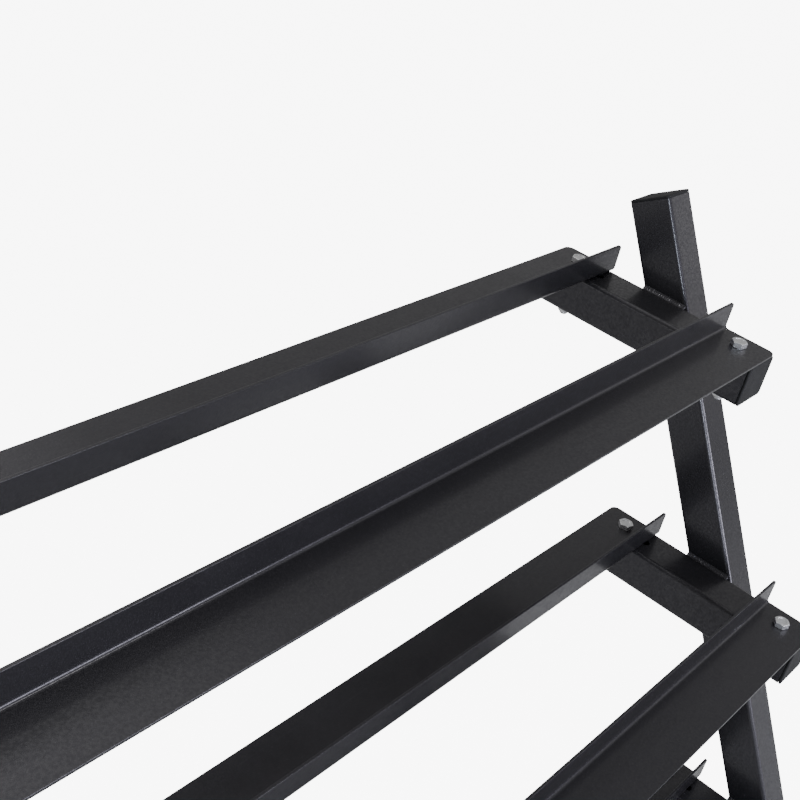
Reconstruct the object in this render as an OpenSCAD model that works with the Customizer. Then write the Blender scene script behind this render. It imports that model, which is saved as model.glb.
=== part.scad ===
// Three-tier dumbbell rack: pairs of folded L-section rails bolted to two welded side frames.
// Millimetres, +Z up, front of the rack towards -Y, right-hand side frame on +X.
// The origin is on the floor, midway between the side frames and midway along the feet.

/* [Rails] */
// Length of each rail, which is also the distance between the uprights
rail_len = 1120; // [700:10:1800]
// Width of each rail's plate, from its free edge to the back of its flange
rail_w = 54; // [40:1:80]
// Height of each rail's flange, from the underside of the plate
rail_h = 28; // [18:1:45]
// Thickness of the folded sheet
sheet_t = 2.5; // [2:0.5:4]
// Inside radius of the fold
fold_r = 2.5; // [1:0.5:5]
// Clear gap between the two flanges of a tier
rail_gap = 120; // [100:1:200]
// Radius of the plate's two free corners
plate_corner_r = 7; // [2:1:15]
// Radius of the flange's two top corners
flange_corner_r = 4; // [1:1:10]

/* [Arms] */
// Width of the arm tube, along the rack
arm_w = 45; // [36:1:70]
// Height of the arm tube
arm_h = 40; // [30:1:60]
// Wall of the arm tube
arm_wall = 2; // [1.5:0.5:3]
// Outer corner radius of the arm tube
arm_corner_r = 4; // [3.5:0.5:6]
// Slope of the tiers, with the front edge low
tilt = 15.5; // [0:1:25]

/* [Uprights] */
// Width of the upright tube, along the rack
post_w = 40; // [30:1:60]
// Depth of the upright tube, square to its axis
post_d = 42; // [30:1:60]
// Wall of the upright tube
post_wall = 2; // [1.5:0.5:3]
// Outer corner radius of the upright tube
post_corner_r = 4; // [3.5:0.5:6]
// Backward lean of the uprights from the vertical
lean = 15; // [5:1:25]
// Distance along the upright from the foot to the top face of the bottom arm
first_tier = 168; // [130:1:300]
// Distance along the upright from one tier to the next
tier_step = 266; // [200:1:400]
// Distance along the upright from the top face of the top arm to the upright's end
post_above = 94; // [60:1:200]
// How far the middle of each arm sits in front of the upright's centreline
arm_forward = 2; // [0:1:20]

/* [Feet] */
// Length of each foot, over its end caps
foot_len = 520; // [440:5:800]
// Width of the foot tube
foot_w = 40; // [38:1:60]
// Height of the foot tube
foot_h = 40; // [30:1:60]
// Wall of the foot tube
foot_wall = 2; // [1.5:0.5:3]
// Outer corner radius of the foot tube
foot_corner_r = 4; // [3.5:0.5:6]
// Distance from the foot's front end to the upright's centreline
foot_front = 180; // [120:5:260]
// Diameter of the round rubber pads
pad_d = 34; // [24:1:36]
// Height of the rubber pads
pad_h = 8; // [7:0.5:15]
// Distance from the end of the foot to the middle of its pad
pad_inset = 45; // [30:1:100]

/* [End caps] */
// Thickness of the flat head of each plastic end cap
cap_t = 3; // [2:0.5:5]
// How far the cap's plug reaches into the tube
cap_plug = 14; // [8:1:25]
// Wall of the hollow plug
cap_wall = 2; // [1.5:0.5:3]
// Clearance between the plug and the inside of the tube
cap_clearance = 0.2; // [0.1:0.05:0.5]

/* [Fasteners] */
// Thread diameter of the rail bolts
bolt_d = 8; // [6:1:10]
// Clearance of the bolt in its holes, on the diameter
bolt_clearance = 1; // [0.5:0.25:2]
// Size of the bolt head and nut across flats
hex_af = 13; // [13:1:17]
// Height of the bolt head
head_h = 5.5; // [4:0.5:7]
// Outer diameter of the washers
washer_d = 17; // [16:1:22]
// Thickness of the washers
washer_t = 1.6; // [1:0.2:2.5]
// Height of the lock nuts
nut_h = 8; // [6:0.5:10]
// Thread that shows beyond the nut
thread_out = 3; // [1:0.5:6]
// Clearance between threads, on the diameter
thread_clearance = 0.1; // [0.05:0.05:0.2]
// Distance from each rear bolt forward to the spare hole in the arm
spare_pitch = 25; // [20:1:40]
// Shank diameter of the pad screws
screw_d = 4.8; // [4:0.1:5]
// Head diameter of the pad screws
screw_head_d = 9; // [8:0.5:10]
// Head height of the pad screws
screw_head_h = 2.5; // [2:0.5:3]
// Depth below the pad's face at which the screw head sits
screw_recess = 1.5; // [1:0.5:3]
// Shank length of the pad screws above the foot's bottom wall
screw_reach = 5; // [3:1:8]
// Clearance round the screw head in the pad, on the diameter
screw_clearance = 1; // [0.5:0.5:2]

/* [Welds] */
// Leg length of the fillet welds
weld = 4; // [3:0.5:6]

/* [Hidden] */
SIDES = ["left", "right"];
TIERS = ["bottom", "middle", "top"];
ENDS = ["front", "rear"];
PAINT = [0.16, 0.16, 0.17];
PLASTIC = [0.09, 0.09, 0.1];
RUBBER = [0.06, 0.06, 0.06];
ZINC = [0.78, 0.79, 0.8];
$fn = 64;
// Small overrun that lets a cut pass through a face
over = 1;
// Outside radius of the fold
bend_r = fold_r + sheet_t;
// Depth of a tier over its two rails
tier_depth = rail_gap + 2 * rail_w;
// Front and rear edges of a tier, measured along the arm from the upright's centreline
tier_front = -tier_depth / 2 - arm_forward;
tier_rear = tier_depth / 2 - arm_forward;
// Bolt places along the arm
bolt_front = tier_front + rail_w / 2;
bolt_rear = tier_rear - rail_w / 2;
spare_hole = bolt_rear - spare_pitch;
bolt_hole_d = bolt_d + bolt_clearance;
// Middle of the arm, the upright and the foot along the rack
arm_x = (rail_len - arm_w) / 2;
post_x = (rail_len + post_w) / 2;
frame_x = rail_len / 2;
// Upright's centreline where it meets the top of the foot
foot_top = pad_h + foot_h;
post_y = foot_front - foot_len / 2;
post_len = first_tier + (len(TIERS) - 1) * tier_step + post_above - cap_t;
// Angle between the upright and the square to the arm
skew = lean + tilt;
// Half of the upright's depth where it crosses the top face of an arm
post_half_cut = post_d / 2 / cos(skew);
pad_y = foot_len / 2 - pad_inset;
screw_head_z = screw_recess + screw_head_h;
// Chamfer on the corners of heads and nuts: its slope, and how far it cuts into the flats' circle
hex_slope = 1.8;
hex_cut = 0.2;
// Chamfer round the foot of each pad
pad_chamfer = 1;

// Distance along the upright to a tier
function tier_reach(tier) = first_tier + search([tier], TIERS)[0] * tier_step;

function name_of(a, b, c = "") = c == "" ? str(a, "_", b) : str(a, "_", b, "_", c);

// ---- Shared shapes ----

// Rectangle with true round corners
module rounded_rect(w, h, r) {
    square([w - 2 * r, h], center = true);
    square([w, h - 2 * r], center = true);
    for (x = [-1, 1], y = [-1, 1])
        translate([x * (w / 2 - r), y * (h / 2 - r)]) circle(r);
}

// Solid bar with the outside shape of a tube, along +Z from the origin
module tube_solid(w, h, r, length) {
    linear_extrude(length) rounded_rect(w, h, r);
}

// Hollow tube along +Z from the origin
module tube(w, h, r, wall, length) {
    difference() {
        tube_solid(w, h, r, length);
        translate([0, 0, -over])
            tube_solid(w - 2 * wall, h - 2 * wall, r - wall, length + 2 * over);
    }
}

// Plastic end cap: a flat head above the tube's cut end at z = 0 and a hollow plug below it
module end_cap(w, h, r, wall) {
    bore_w = w - 2 * wall - 2 * cap_clearance;
    bore_h = h - 2 * wall - 2 * cap_clearance;
    bore_r = r - wall;
    tube_solid(w, h, r, cap_t);
    translate([0, 0, -cap_plug]) difference() {
        tube_solid(bore_w, bore_h, bore_r, cap_plug);
        translate([0, 0, -over])
            cube_column(bore_w - 2 * cap_wall, bore_h - 2 * cap_wall, cap_plug + over);
    }
}

// Square-cornered column along +Z, centred on the axis
module cube_column(w, h, length) {
    translate([-w / 2, -h / 2, 0]) cube([w, h, length]);
}

// Hexagonal prism with its top corners chamfered
module hex_body(height) {
    corner_r = hex_af / 2 / cos(30);
    intersection() {
        cylinder(r = corner_r, h = height, $fn = 6);
        cylinder(r1 = hex_af / 2 + height * hex_slope, r2 = hex_af / 2 - hex_cut, h = height);
    }
}

// Outside corner left over when a square corner is rounded, filling x and y from 0 to r
module corner_waste(r) {
    difference() {
        translate([-over, -over]) square(r + over);
        translate([r, r]) circle(r);
    }
}

// ---- Places ----

// Mirrors the right-hand side to the left where it is asked for
module on_side(side) {
    if (side == "left") mirror([1, 0, 0]) children();
    else children();
}

// Frame of an upright: origin on its centreline at the top of the foot, +Z along the tube
module on_upright() {
    translate([post_x, post_y, foot_top]) rotate([-lean, 0, 0]) children();
}

// Frame of a tier: origin where the uprights' centrelines cross the arms' top faces,
// +Y back along the arms and +Z square to the rails' plates
module on_tier(tier) {
    reach = tier_reach(tier);
    translate([0, post_y + reach * sin(lean), foot_top + reach * cos(lean)])
        rotate([tilt, 0, 0]) children();
}

// Every bolt place of one tier
module at_bolts(tier) {
    on_tier(tier)
        for (x = [-arm_x, arm_x], y = [bolt_front, bolt_rear])
            translate([x, y, 0]) children();
}

// Turns +Z to point out of the front or the rear end of a tube that lies along Y
module facing(end) {
    rotate([end == "front" ? 90 : -90, 0, 0]) children();
}

// ---- Side frames ----

module upright(side) {
    color(PAINT) on_side(side) difference() {
        on_upright() translate([0, 0, -post_d])
            tube(post_w, post_d, post_corner_r, post_wall, post_len + post_d);
        translate([post_x - post_w, post_y - 2 * post_d, foot_top - 2 * post_d])
            cube([2 * post_w, 4 * post_d, 2 * post_d]);
    }
}

module upright_cap(side) {
    color(PLASTIC) on_side(side) on_upright() translate([0, 0, post_len])
        end_cap(post_w, post_d, post_corner_r, post_wall);
}

module foot(side) {
    color(PAINT) on_side(side) translate([post_x, 0, 0]) difference() {
        translate([0, cap_t - foot_len / 2, pad_h + foot_h / 2]) rotate([-90, 0, 0])
            tube(foot_w, foot_h, foot_corner_r, foot_wall, foot_len - 2 * cap_t);
        for (y = [-pad_y, pad_y]) translate([0, y, pad_h - over])
            cylinder(d = screw_d + thread_clearance, h = foot_wall + 2 * over);
    }
}

module foot_cap(side, end) {
    y = (foot_len / 2 - cap_t) * (end == "front" ? -1 : 1);
    color(PLASTIC) on_side(side) translate([post_x, y, pad_h + foot_h / 2]) facing(end)
        end_cap(foot_w, foot_h, foot_corner_r, foot_wall);
}

module foot_pad(side, end) {
    y = pad_y * (end == "front" ? -1 : 1);
    color(RUBBER) on_side(side) translate([post_x, y, 0]) difference() {
        union() {
            cylinder(d1 = pad_d - 2 * pad_chamfer, d2 = pad_d, h = pad_chamfer);
            translate([0, 0, pad_chamfer]) cylinder(d = pad_d, h = pad_h - pad_chamfer);
        }
        translate([0, 0, -over])
            cylinder(d = screw_head_d + screw_clearance, h = screw_head_z + over);
        cylinder(d = screw_d + thread_clearance, h = pad_h + over);
    }
}

module pad_screws() {
    shank = pad_h - screw_head_z + foot_wall + screw_reach;
    color(ZINC) for (x = [-post_x, post_x], y = [-pad_y, pad_y])
        translate([x, y, screw_recess]) {
            cylinder(d = screw_head_d, h = screw_head_h);
            translate([0, 0, screw_head_h]) cylinder(d = screw_d, h = shank);
        }
}

module arm(side, tier) {
    color(PAINT) on_side(side) on_tier(tier) difference() {
        translate([arm_x, tier_front + cap_t, -arm_h / 2]) rotate([-90, 0, 0])
            tube(arm_w, arm_h, arm_corner_r, arm_wall, tier_depth - 2 * cap_t);
        for (y = [bolt_front, spare_hole, bolt_rear]) translate([arm_x, y, -arm_h - over])
            cylinder(d = bolt_hole_d, h = arm_h + 2 * over);
    }
}

module arm_cap(side, tier, end) {
    y = end == "front" ? tier_front + cap_t : tier_rear - cap_t;
    color(PLASTIC) on_side(side) on_tier(tier) translate([arm_x, y, -arm_h / 2]) facing(end)
        end_cap(arm_w, arm_h, arm_corner_r, arm_wall);
}

// ---- Welds ----

// Section of a bead in the groove between a flat face on x = 0 and the round corner of a tube
// that fills the quarter where x and y are negative; the tube itself is cut away afterwards
module groove_section(r) {
    polygon([[0, weld], [-r - over, 0], [-r - over, -r], [0, -r]]);
}

// Beads along the top and the bottom edge of one arm, against the upright's inner face
module arm_edge_beads(tier) {
    inset = weld * tan(skew);
    bead_len = 2 * post_half_cut - inset;
    bottom_y = -arm_h * tan(skew) - post_half_cut;
    on_tier(tier) difference() {
        union() {
            translate([frame_x, inset - post_half_cut + bead_len, 0]) rotate([90, 0, 0])
                linear_extrude(bead_len) groove_section(arm_corner_r);
            translate([frame_x, bottom_y, -arm_h]) mirror([0, 0, 1]) translate([0, bead_len, 0])
                rotate([90, 0, 0]) linear_extrude(bead_len) groove_section(arm_corner_r);
        }
        translate([arm_x, tier_front, -arm_h / 2]) rotate([-90, 0, 0])
            tube_solid(arm_w, arm_h, arm_corner_r, tier_depth);
    }
}

// Beads down the upright's front and back edges, against the arm's outer face
module post_edge_beads(tier) {
    band = arm_h - 2 * arm_corner_r;
    difference() {
        intersection() {
            on_upright() translate([-post_w / 2, 0, tier_reach(tier) - 2 * arm_h])
                linear_extrude(3 * arm_h) {
                    translate([0, -post_d / 2]) rotate(180) groove_section(post_corner_r);
                    translate([0, post_d / 2]) mirror([1, 0]) groove_section(post_corner_r);
                }
            on_tier(tier) translate([frame_x, -2 * post_d, arm_corner_r - arm_h])
                cube([post_w / 2, 4 * post_d, band]);
        }
        on_upright() tube_solid(post_w, post_d, post_corner_r, post_len);
    }
}

// Beads across the front and the back of an upright, on the top of the foot
module foot_welds() {
    half = post_d / 2 / cos(lean);
    bead_w = post_w - 2 * post_corner_r;
    for (dir = [-1, 1]) translate([post_x - bead_w / 2, post_y + dir * half, foot_top])
        rotate([90, 0, 90]) linear_extrude(bead_w)
            polygon([[0, 0], [dir * weld, 0], [weld * sin(lean), weld * cos(lean)]]);
}

module welds(side) {
    color(PAINT) on_side(side) {
        for (tier = TIERS) {
            arm_edge_beads(tier);
            post_edge_beads(tier);
        }
        foot_welds();
    }
}

// ---- Rails ----

// Folded section: plate from y = 0 to rail_w at the bottom, flange standing at y = rail_w
module rail_section() {
    bend = [rail_w - bend_r, bend_r];
    square([rail_w - bend_r, sheet_t]);
    translate([rail_w - sheet_t, bend_r]) square([sheet_t, rail_h - bend_r]);
    intersection() {
        difference() {
            translate(bend) circle(bend_r);
            translate(bend) circle(fold_r);
        }
        translate([rail_w - bend_r, 0]) square(bend_r);
    }
}

module rail(tier, end) {
    edge = end == "front" ? tier_front : tier_rear;
    bolt_y = rail_w / 2;
    color(PAINT) on_tier(tier) translate([0, edge, 0]) mirror([0, end == "front" ? 0 : 1, 0])
        difference() {
            translate([-frame_x, 0, 0]) rotate([90, 0, 90])
                linear_extrude(rail_len) rail_section();
            for (flip = [0, 1]) mirror([flip, 0, 0]) {
                translate([arm_x, bolt_y, -over]) cylinder(d = bolt_hole_d, h = sheet_t + 2 * over);
                translate([frame_x, 0, -over]) rotate([0, 0, 90])
                    linear_extrude(sheet_t + 2 * over) corner_waste(plate_corner_r);
                translate([frame_x, rail_w + over, rail_h]) rotate([90, 180, 0])
                    linear_extrude(sheet_t + 2 * over) corner_waste(flange_corner_r);
            }
        }
}

// ---- Fasteners ----

module bolts(tier) {
    shank = sheet_t + arm_h + washer_t + nut_h + thread_out;
    color(ZINC) at_bolts(tier) {
        translate([0, 0, sheet_t]) hex_body(head_h);
        translate([0, 0, sheet_t - shank]) cylinder(d = bolt_d, h = shank);
    }
}

module washers(tier) {
    color(ZINC) at_bolts(tier) translate([0, 0, -arm_h - washer_t]) difference() {
        cylinder(d = washer_d, h = washer_t);
        translate([0, 0, -over]) cylinder(d = bolt_hole_d, h = washer_t + 2 * over);
    }
}

module nuts(tier) {
    color(ZINC) at_bolts(tier) translate([0, 0, -arm_h - washer_t]) rotate([180, 0, 0])
        difference() {
            hex_body(nut_h);
            translate([0, 0, -over]) cylinder(d = bolt_d + thread_clearance, h = nut_h + 2 * over);
        }
}

// ---- Assembly ----

for (s = SIDES) upright(s);
for (s = SIDES) upright_cap(s);
for (s = SIDES) foot(s);
for (s = SIDES, e = ENDS) {
    foot_cap(s, e);
    foot_pad(s, e);
}
pad_screws();
for (s = SIDES, t = TIERS) arm(s, t);
for (s = SIDES, t = TIERS, e = ENDS)
    arm_cap(s, t, e);
for (s = SIDES) welds(s);
for (t = TIERS, e = ENDS) rail(t, e);
for (t = TIERS) bolts(t);
for (t = TIERS) washers(t);
for (t = TIERS) nuts(t);
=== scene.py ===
"""Looks of the dumbbell rack: folds, welds, fixings and finishes around the fixed frame.

Every size is in metres and every piece is built lying along an axis at the origin, then placed
in its mesh, so that each finished object sits unturned at the origin.
"""
from __future__ import annotations

import logging  # noqa: E402
import math  # noqa: E402
import random  # noqa: E402
from dataclasses import dataclass, field  # noqa: E402
from enum import Enum  # noqa: E402
from typing import Callable, Iterable, Iterator  # noqa: E402

import bmesh  # noqa: E402
import bpy  # noqa: E402
from mathutils import Matrix, Vector, noise  # noqa: E402


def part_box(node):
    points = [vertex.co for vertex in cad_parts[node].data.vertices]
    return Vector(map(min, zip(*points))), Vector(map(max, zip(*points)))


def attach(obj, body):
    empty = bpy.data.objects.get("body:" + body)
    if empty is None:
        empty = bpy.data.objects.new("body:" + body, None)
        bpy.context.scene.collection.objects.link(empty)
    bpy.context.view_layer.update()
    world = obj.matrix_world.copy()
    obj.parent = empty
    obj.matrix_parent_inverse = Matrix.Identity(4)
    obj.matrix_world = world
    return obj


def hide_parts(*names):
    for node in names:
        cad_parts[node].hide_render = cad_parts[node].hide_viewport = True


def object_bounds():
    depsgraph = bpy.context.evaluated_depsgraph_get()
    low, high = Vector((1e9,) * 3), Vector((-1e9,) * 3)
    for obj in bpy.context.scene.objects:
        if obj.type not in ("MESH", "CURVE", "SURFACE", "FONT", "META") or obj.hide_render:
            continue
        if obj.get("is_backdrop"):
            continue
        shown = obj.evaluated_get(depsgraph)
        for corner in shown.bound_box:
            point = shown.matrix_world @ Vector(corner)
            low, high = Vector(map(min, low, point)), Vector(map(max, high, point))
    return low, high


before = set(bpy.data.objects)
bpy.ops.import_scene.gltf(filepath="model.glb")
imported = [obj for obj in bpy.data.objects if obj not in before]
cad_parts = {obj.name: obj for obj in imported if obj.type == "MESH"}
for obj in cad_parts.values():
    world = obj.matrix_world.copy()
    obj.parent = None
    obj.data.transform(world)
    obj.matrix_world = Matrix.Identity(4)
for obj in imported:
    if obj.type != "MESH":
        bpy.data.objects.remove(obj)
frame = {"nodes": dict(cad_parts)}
CAD_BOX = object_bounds()

log = logging.getLogger("rack")
BODY = "root"
MM = 0.001
EDGE_LAYER = "edge"
SIDES = ("left", "right")
TIERS = ("bottom", "middle", "top")
ENDS = ("front", "rear")


class Slot(Enum):
    """Material slots of the record."""

    FRAME = "frame_paint"
    RAIL = "rail_paint"
    WELD = "weld_paint"
    CAP = "cap_plastic"
    PAD = "pad_rubber"
    ZINC = "zinc"


class Cut(Enum):
    """What a solid does to another one."""

    REMOVE = "DIFFERENCE"
    KEEP_SHARED = "INTERSECT"


# ---------------------------------------------------------------- mesh helpers


def at(x: float = 0.0, y: float = 0.0, z: float = 0.0) -> Matrix:
    """A move by x, y and z."""
    return Matrix.Translation((x, y, z))


def turn(degrees: float, axis: str) -> Matrix:
    """A turn about one axis."""
    return Matrix.Rotation(math.radians(degrees), 4, axis)


def length_edges(bm: bmesh.types.BMesh, axis: int) -> list[bmesh.types.BMEdge]:
    """Edges that run along one axis.

    Args:
        bm: The mesh to search.
        axis: 0, 1 or 2 for X, Y or Z.

    Returns:
        The edges whose direction is that axis.
    """
    found = []
    for edge in bm.edges:
        run = (edge.verts[1].co - edge.verts[0].co).normalized()
        if abs(run[axis]) > 0.999:
            found.append(edge)
    return found


def round_edges(
    bm: bmesh.types.BMesh,
    edges: Iterable[bmesh.types.BMEdge],
    radius: float,
    segments: int = 8,
) -> list[bmesh.types.BMVert]:
    """Rounds edges with a circular profile.

    Args:
        bm: The mesh that holds the edges.
        edges: The edges to round.
        radius: Radius of the rounding.
        segments: Steps round the arc.

    Returns:
        The vertices strictly inside the rounded strips.
    """
    made = bmesh.ops.bevel(
        bm,
        geom=list(edges),
        offset=radius,
        offset_type="OFFSET",
        segments=segments,
        profile=0.5,
        affect="EDGES",
        clamp_overlap=True,
        material=-1,
    )
    strips = set(made["faces"])
    return [v for v in made["verts"] if all(f in strips for f in v.link_faces)]


def soften(bm: bmesh.types.BMesh, radius: float, angle: float = 35.0, segments: int = 2) -> None:
    """Breaks every sharp edge and notes the broken edges in the edge layer.

    Args:
        bm: The mesh to soften.
        radius: Radius of the broken edge.
        angle: Least angle between two faces, in degrees, that counts as sharp.
        segments: Steps round each broken edge; two leave a middle line that carries the mark.
    """
    bmesh.ops.recalc_face_normals(bm, faces=bm.faces[:])
    limit = math.radians(angle)
    sharp = [e for e in bm.edges if len(e.link_faces) == 2 and e.calc_face_angle(0.0) > limit]
    layer = bm.verts.layers.float.get(EDGE_LAYER) or bm.verts.layers.float.new(EDGE_LAYER)
    for vert in round_edges(bm, sharp, radius, segments):
        vert[layer] = 1.0


def mesh_of(bm: bmesh.types.BMesh, name: str) -> bpy.types.Mesh:
    """Writes a bmesh to a new mesh and frees it."""
    mesh = bpy.data.meshes.new(name)
    bm.to_mesh(mesh)
    bm.free()
    return mesh


def carve(body: bmesh.types.BMesh, tool: bmesh.types.BMesh, cut: Cut) -> bmesh.types.BMesh:
    """Cuts one closed solid with another.

    Args:
        body: The solid that is cut; it is used up.
        tool: The cutting solid; it is used up.
        cut: Whether the tool is removed or only what both share is kept.

    Returns:
        The cut solid.
    """
    objects = []
    for bm, name in ((body, "carve_body"), (tool, "carve_tool")):
        bmesh.ops.recalc_face_normals(bm, faces=bm.faces[:])
        obj = bpy.data.objects.new(name, mesh_of(bm, name))
        bpy.context.scene.collection.objects.link(obj)
        objects.append(obj)
    modifier = objects[0].modifiers.new("carve", "BOOLEAN")
    modifier.operation = cut.value
    modifier.solver = "EXACT"
    modifier.object = objects[1]
    graph = bpy.context.evaluated_depsgraph_get()
    result = bmesh.new()
    result.from_mesh(objects[0].evaluated_get(graph).to_mesh())
    for obj in objects:
        mesh = obj.data
        bpy.data.objects.remove(obj)
        bpy.data.meshes.remove(mesh)
    return result


def joined(parts: Iterable[tuple[bmesh.types.BMesh, Matrix]]) -> bmesh.types.BMesh:
    """Puts several meshes together, each at its own place.

    Args:
        parts: Pairs of a mesh, which is used up, and its place.

    Returns:
        One mesh that holds them all.
    """
    total = bmesh.new()
    total.verts.layers.float.new(EDGE_LAYER)
    for bm, place in parts:
        bm.transform(place)
        if place.determinant() < 0:
            bmesh.ops.reverse_faces(bm, faces=bm.faces[:])
        mesh = mesh_of(bm, "part")
        total.from_mesh(mesh)
        bpy.data.meshes.remove(mesh)
    return total


def cylinder(radius: float, low: float, high: float, steps: int = 48) -> bmesh.types.BMesh:
    """A closed cylinder on the Z axis between two heights."""
    bm = bmesh.new()
    bmesh.ops.create_cone(
        bm,
        cap_ends=True,
        segments=steps,
        radius1=radius,
        radius2=radius,
        depth=high - low,
        matrix=at(z=(low + high) / 2),
    )
    return bm


def lathe(outline: list[tuple[float, float]], steps: int = 48) -> bmesh.types.BMesh:
    """Spins an outline about the Z axis.

    Args:
        outline: Radius and height of each point, from the bottom to the top.
        steps: Steps round the full turn.

    Returns:
        The turned solid, closed at both poles where the outline reaches the axis.
    """
    bm = bmesh.new()
    verts = [bm.verts.new((radius, 0.0, height)) for radius, height in outline]
    edges = [bm.edges.new(pair) for pair in zip(verts, verts[1:])]
    bmesh.ops.spin(
        bm,
        geom=verts + edges,
        cent=(0, 0, 0),
        axis=(0, 0, 1),
        angle=math.tau,
        steps=steps,
        use_merge=True,
    )
    bmesh.ops.remove_doubles(bm, verts=bm.verts[:], dist=1e-6)
    bmesh.ops.recalc_face_normals(bm, faces=bm.faces[:])
    return bm


def rounded_column(
    width: float, depth: float, low: float, high: float, corner: float
) -> bmesh.types.BMesh:
    """A closed column on the Z axis with round corners.

    Args:
        width: Size along X.
        depth: Size along Y.
        low: Lower end.
        high: Upper end.
        corner: Radius of the four corners.

    Returns:
        The column.
    """
    bm = bmesh.new()
    size = Matrix.Diagonal((width, depth, high - low, 1))
    bmesh.ops.create_cube(bm, size=1.0, matrix=at(z=(low + high) / 2) @ size)
    round_edges(bm, length_edges(bm, 2), corner)
    bm.normal_update()
    return bm


# ---------------------------------------------------------------- pieces


def publish(
    name: str,
    bm: bmesh.types.BMesh,
    place: Matrix,
    materials: list[bpy.types.Material],
    slot: Slot,
    nodes: list[str],
) -> bpy.types.Object:
    """Makes the finished object of a piece and ties it to the frame.

    Args:
        name: Name of the piece.
        bm: Its mesh at the origin; it is used up.
        place: Where it goes.
        materials: Its materials, in the order of the faces' material numbers.
        slot: The record's slot meant for its finish; it is not used.
        nodes: The frame's nodes that it stands for.

    Returns:
        The new object.
    """
    bm.transform(place)
    if place.determinant() < 0:
        bmesh.ops.reverse_faces(bm, faces=bm.faces[:])
    for face in bm.faces:
        face.smooth = True
    mesh = mesh_of(bm, name)
    obj = bpy.data.objects.new(name, mesh)
    bpy.context.scene.collection.objects.link(obj)
    for material in materials:
        mesh.materials.append(material)
    normals = obj.modifiers.new("even_normals", "WEIGHTED_NORMAL")
    normals.keep_sharp = True
    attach(obj, BODY)
    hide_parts(*nodes)
    log.info("%s: %d faces, stands for %s", name, len(mesh.polygons), ", ".join(nodes))
    return obj


# ---------------------------------------------------------------- shader helpers


class Graph:
    """A small hand for wiring shader nodes in a material or a node group."""

    def __init__(self, tree: bpy.types.NodeTree) -> None:
        """Takes the tree to wire."""
        self.tree = tree

    def node(self, kind: str, **values: object) -> bpy.types.Node:
        """Adds a node.

        Args:
            kind: Type name of the node, without the ShaderNode prefix.
            **values: Attributes to set, or inputs by name with spaces written as underscores.

        Returns:
            The new node.
        """
        made = self.tree.nodes.new(f"ShaderNode{kind}")
        for key, value in values.items():
            if hasattr(made, key):
                setattr(made, key, value)
            else:
                made.inputs[key.replace("_", " ")].default_value = value
        return made

    def link(self, source: bpy.types.NodeSocket, target: bpy.types.NodeSocket) -> None:
        """Joins two sockets."""
        self.tree.links.new(source, target)

    def math(
        self, operation: str, a: object, b: object = 0.0, clamp: bool = False
    ) -> bpy.types.NodeSocket:
        """Adds a math node.

        Args:
            operation: Name of the operation.
            a: First number or socket.
            b: Second number or socket.
            clamp: Whether the result is kept between 0 and 1.

        Returns:
            The result's socket.
        """
        made = self.node("Math", operation=operation, use_clamp=clamp)
        for number, value in enumerate((a, b)):
            if isinstance(value, bpy.types.NodeSocket):
                self.link(value, made.inputs[number])
            else:
                made.inputs[number].default_value = value
        return made.outputs[0]

    def span(
        self,
        value: bpy.types.NodeSocket,
        low: float,
        high: float,
        to_low: float = 0.0,
        to_high: float = 1.0,
    ) -> bpy.types.NodeSocket:
        """Maps a value from one range to another, clamped.

        Args:
            value: The socket to map.
            low: Start of its range.
            high: End of its range.
            to_low: Result at the start.
            to_high: Result at the end.

        Returns:
            The mapped socket.
        """
        made = self.node("MapRange", clamp=True)
        self.link(value, made.inputs["Value"])
        limits = {"From Min": low, "From Max": high, "To Min": to_low, "To Max": to_high}
        for name, number in limits.items():
            made.inputs[name].default_value = number
        return made.outputs["Result"]

    def blend(self, amount: bpy.types.NodeSocket, a: object, b: object) -> bpy.types.NodeSocket:
        """Mixes two colours.

        Args:
            amount: Socket with the share of the second colour.
            a: First colour or socket.
            b: Second colour or socket.

        Returns:
            The mixed colour's socket.
        """
        made = self.node("Mix", data_type="RGBA")
        self.link(amount, made.inputs[0])
        for number, value in ((6, a), (7, b)):
            if isinstance(value, bpy.types.NodeSocket):
                self.link(value, made.inputs[number])
            else:
                made.inputs[number].default_value = (*value, 1.0)
        return made.outputs[2]


def effect(
    name: str,
    inputs: dict[str, float],
    outputs: list[str],
    wire: Callable[[Graph, dict, dict], None],
) -> bpy.types.NodeTree:
    """Builds a shared shader effect once.

    Args:
        name: Name of the node group.
        inputs: Names and usual values of its number inputs.
        outputs: Names of its number outputs.
        wire: Fills the group; it gets the graph, the input sockets and the output sockets.

    Returns:
        The node group.
    """
    if name in bpy.data.node_groups:
        return bpy.data.node_groups[name]
    tree = bpy.data.node_groups.new(name, "ShaderNodeTree")
    for key, value in inputs.items():
        socket = tree.interface.new_socket(name=key, in_out="INPUT", socket_type="NodeSocketFloat")
        socket.default_value = value
    for key in outputs:
        tree.interface.new_socket(name=key, in_out="OUTPUT", socket_type="NodeSocketFloat")
    entry = tree.nodes.new("NodeGroupInput")
    leave = tree.nodes.new("NodeGroupOutput")
    wire(Graph(tree), dict(entry.outputs.items()), dict(leave.inputs.items()))
    return tree


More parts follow.
